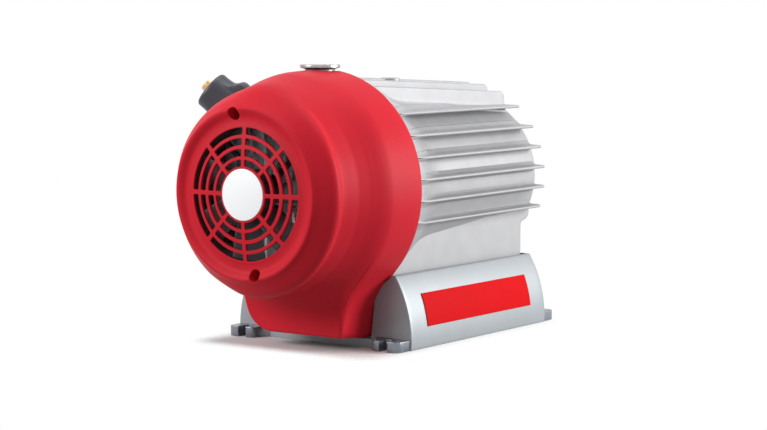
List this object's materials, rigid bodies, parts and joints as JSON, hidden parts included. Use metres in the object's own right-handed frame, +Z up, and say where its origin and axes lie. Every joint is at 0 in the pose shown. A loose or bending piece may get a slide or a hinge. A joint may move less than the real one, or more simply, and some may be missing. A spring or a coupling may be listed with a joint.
{
  "type": "dry scroll vacuum pump",
  "caption": "Free-standing scroll vacuum pump with a round fan hood, a finned motor housing, small flange ports, a ballast valve and a slotted base.",
  "frame": {"origin": "on the floor, in the centre of the rectangle of the four mounting slots", "axes": "+Z up, the fan side faces -Y, the flank with the plain red plate faces +X"},
  "size_m": [0.2496, 0.4036, 0.2763],
  "materials": {
    "hood_red": "satin moulded plastic",
    "hub_white": "satin",
    "screw_steel": "black oxide",
    "bright_steel": "turned",
    "fan_black": "matt",
    "bearing_steel": "ground",
    "scroll_aluminium": "machined",
    "seal_white": "matt",
    "ring_rubber": "matt",
    "shaft_steel": "ground",
    "weight_iron": "as cast",
    "housing_cast": "fine as-cast, painted silver",
    "core_steel": "laminated",
    "winding_copper": "varnished copper",
    "board_green": "lacquered",
    "cover_grey": "satin",
    "display_dark": "gloss",
    "key_grey": "satin",
    "socket_black": "satin",
    "rocker_red": "gloss",
    "flange_aluminium": "turned",
    "valve_black": "satin",
    "filter_brass": "sintered",
    "base_silver": "satin",
    "plate_red": "satin film"
  },
  "bodies": {
    "pump": {"fan_hood": "hood_red", "hub_disc": "hub_white", "hood_screws": "screw_steel", "hood_standoffs": "bright_steel", "fan_frame": "fan_black", "fan_bearings": "bearing_steel", "fixed_scroll": "scroll_aluminium", "fixed_tip_seal": "seal_white", "fixed_scroll_screws": "screw_steel", "bowl_o_ring": "ring_rubber", "idler_housing_bearings": "bearing_steel", "main_bearing": "bearing_steel", "bearing_retainer": "bright_steel", "retainer_screws": "screw_steel", "housing": "housing_cast", "stator_core": "core_steel", "stator_windings": "winding_copper", "end_bell": "scroll_aluminium", "end_bell_screws": "screw_steel", "rear_bearing": "bearing_steel", "drive_board": "board_green", "rear_cover": "cover_grey", "rear_cover_screws": "screw_steel", "display_board": "display_dark", "mains_switch_frame": "socket_black", "mains_inlet": "socket_black", "control_connector": "bright_steel", "inlet_flange": "flange_aluminium", "exhaust_flange": "flange_aluminium", "lifting_plug": "flange_aluminium", "valve_body": "valve_black", "base": "base_silver", "base_screws": "screw_steel", "red_plate": "plate_red"},
    "shaft": {"crankshaft": "shaft_steel", "front_counterweight": "weight_iron", "rear_counterweight": "weight_iron", "motor_rotor": "core_steel"},
    "scroll": {"orbiting_scroll": "scroll_aluminium", "orbiting_tip_seal": "seal_white", "crank_bearing": "bearing_steel", "idler_scroll_bearings": "bearing_steel"},
    "idler_a": {"idler_crank_a": "shaft_steel"},
    "idler_b": {"idler_crank_b": "shaft_steel"},
    "idler_c": {"idler_crank_c": "shaft_steel"},
    "fan": {"fan_rotor": "fan_black"},
    "ballast_knob": {"valve_knob": "valve_black", "valve_filter": "filter_brass"},
    "rocker": {"mains_rocker": "rocker_red"},
    "key_1": {"key_a": "key_grey"},
    "key_2": {"key_b": "key_grey"},
    "key_3": {"key_c": "key_grey"},
    "key_4": {"key_d": "key_grey"}
  },
  "joints": [
    {"name": "shaft_spin", "type": "hinge", "parent": "pump", "child": "shaft", "pos_m": [0, -0.12, 0.1553], "axis": [0, 1, 0], "continuous": true},
    {"name": "scroll_orbit", "type": "hinge", "parent": "shaft", "child": "scroll", "pos_m": [0.00471, -0.135, 0.1553], "axis": [0, 1, 0], "continuous": true},
    {"name": "idler_a_spin", "type": "hinge", "parent": "pump", "child": "idler_a", "pos_m": [0, -0.125, 0.2153], "axis": [0, 1, 0], "continuous": true},
    {"name": "idler_b_spin", "type": "hinge", "parent": "pump", "child": "idler_b", "pos_m": [-0.05196, -0.125, 0.1253], "axis": [0, 1, 0], "continuous": true},
    {"name": "idler_c_spin", "type": "hinge", "parent": "pump", "child": "idler_c", "pos_m": [0.05196, -0.125, 0.1253], "axis": [0, 1, 0], "continuous": true},
    {"name": "fan_spin", "type": "hinge", "parent": "pump", "child": "fan", "pos_m": [0, -0.227, 0.1553], "axis": [0, 1, 0], "continuous": true},
    {"name": "ballast_turn", "type": "hinge", "parent": "pump", "child": "ballast_knob", "pos_m": [-0.08328, -0.14, 0.2176], "axis": [-0.6993, -0.3261, 0.6361], "range_deg": [0, 90]},
    {"name": "mains_rock", "type": "hinge", "parent": "pump", "child": "rocker", "pos_m": [0.034, 0.141, 0.1233], "axis": [-1, 0, 0], "range_deg": [0, 16]},
    {"name": "key_1_press", "type": "slide", "parent": "pump", "child": "key_1", "axis": [0, -1, 0], "range_m": [0, 0.0008], "stiffness_N_per_m": 1500},
    {"name": "key_2_press", "type": "slide", "parent": "pump", "child": "key_2", "axis": [0, -1, 0], "range_m": [0, 0.0008], "stiffness_N_per_m": 1500},
    {"name": "key_3_press", "type": "slide", "parent": "pump", "child": "key_3", "axis": [0, -1, 0], "range_m": [0, 0.0008], "stiffness_N_per_m": 1500},
    {"name": "key_4_press", "type": "slide", "parent": "pump", "child": "key_4", "axis": [0, -1, 0], "range_m": [0, 0.0008], "stiffness_N_per_m": 1500}
  ],
  "couplings": [
    {"joint": "scroll_orbit", "follows": "shaft_spin", "ratio": -1},
    {"joint": "idler_a_spin", "follows": "shaft_spin", "ratio": 1},
    {"joint": "idler_b_spin", "follows": "shaft_spin", "ratio": 1},
    {"joint": "idler_c_spin", "follows": "shaft_spin", "ratio": 1}
  ]
}
